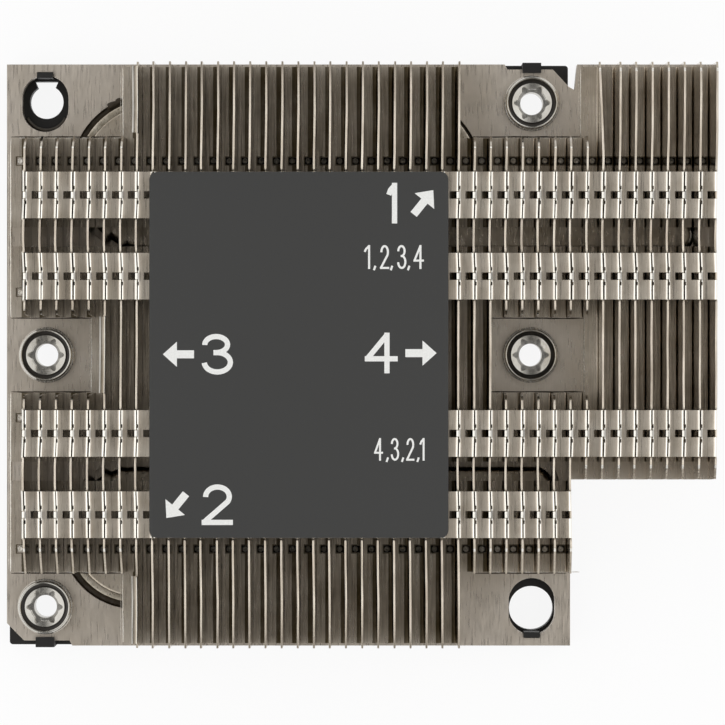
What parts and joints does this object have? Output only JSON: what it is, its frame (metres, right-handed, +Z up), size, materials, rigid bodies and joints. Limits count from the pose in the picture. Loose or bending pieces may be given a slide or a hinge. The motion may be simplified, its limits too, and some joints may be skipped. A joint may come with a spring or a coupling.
{
  "type": "passive server cpu heatsink",
  "caption": "Low passive heatsink: finned stack on a plated base with heat pipes let in, captive star-socket nuts and a clipped-on processor carrier.",
  "frame": {"origin": "centre of the processor's contact face, on the underside", "axes": "+X towards the overhanging extension, +Y towards the edge with the notch, +Z up, away from the processor"},
  "size_m": [0.1102, 0.0912, 0.0282],
  "materials": {
    "base": "nickel plated, satin",
    "fins": "nickel plated, satin",
    "pipe": "plated copper, dull",
    "carrier": "moulded",
    "label": "printed film",
    "nut": "bright nickel",
    "bush": "bright nickel",
    "clip": "spring steel"
  },
  "bodies": {
    "heatsink": {"base_plate": "base", "rear_heat_pipe": "pipe", "front_heat_pipe": "pipe", "carrier_front_bar": "carrier", "carrier_rear_bar": "carrier", "carrier_left_bar": "carrier", "carrier_right_bar": "carrier", "label_plate": "label", "fin_06": "fins", "fin_07": "fins", "fin_08": "fins", "fin_09": "fins", "fin_10": "fins", "fin_11": "fins", "fin_12": "fins", "fin_13": "fins", "fin_14": "fins", "fin_15": "fins", "fin_16": "fins", "fin_17": "fins", "fin_18": "fins", "fin_19": "fins", "fin_20": "fins", "fin_21": "fins", "fin_22": "fins", "fin_23": "fins", "fin_24": "fins", "fin_25": "fins", "fin_26": "fins", "fin_27": "fins", "fin_28": "fins", "fin_29": "fins", "fin_30": "fins", "fin_37": "fins", "fin_38": "fins", "fin_39": "fins", "fin_40": "fins", "fin_41": "fins", "fin_42": "fins", "fin_43": "fins", "fin_44": "fins", "short_fins_left_front": "fins", "short_fins_left_rear": "fins", "short_fins_right_front": "fins", "short_fins_right_rear": "fins", "bush_rear_right": "bush", "bush_front_left": "bush", "bush_middle_left": "bush", "bush_middle_right": "bush"},
    "captive_nut_rear_right": {"nut_rear_right": "nut", "clip_rear_right": "clip"},
    "captive_nut_front_left": {"nut_front_left": "nut", "clip_front_left": "clip"},
    "captive_nut_middle_left": {"nut_middle_left": "nut", "clip_middle_left": "clip"},
    "captive_nut_middle_right": {"nut_middle_right": "nut", "clip_middle_right": "clip"}
  },
  "joints": [
    {"name": "turn_nut_rear_right", "type": "hinge", "parent": "heatsink", "child": "captive_nut_rear_right", "pos_m": [0.038, 0.0393, 0.005], "axis": [0, 0, 1], "continuous": true},
    {"name": "turn_nut_front_left", "type": "hinge", "parent": "heatsink", "child": "captive_nut_front_left", "pos_m": [-0.038, -0.0393, 0.005], "axis": [0, 0, 1], "continuous": true},
    {"name": "turn_nut_middle_left", "type": "hinge", "parent": "heatsink", "child": "captive_nut_middle_left", "pos_m": [-0.0378, 0, 0.005], "axis": [0, 0, 1], "continuous": true},
    {"name": "turn_nut_middle_right", "type": "hinge", "parent": "heatsink", "child": "captive_nut_middle_right", "pos_m": [0.0378, 0, 0.005], "axis": [0, 0, 1], "continuous": true}
  ]
}
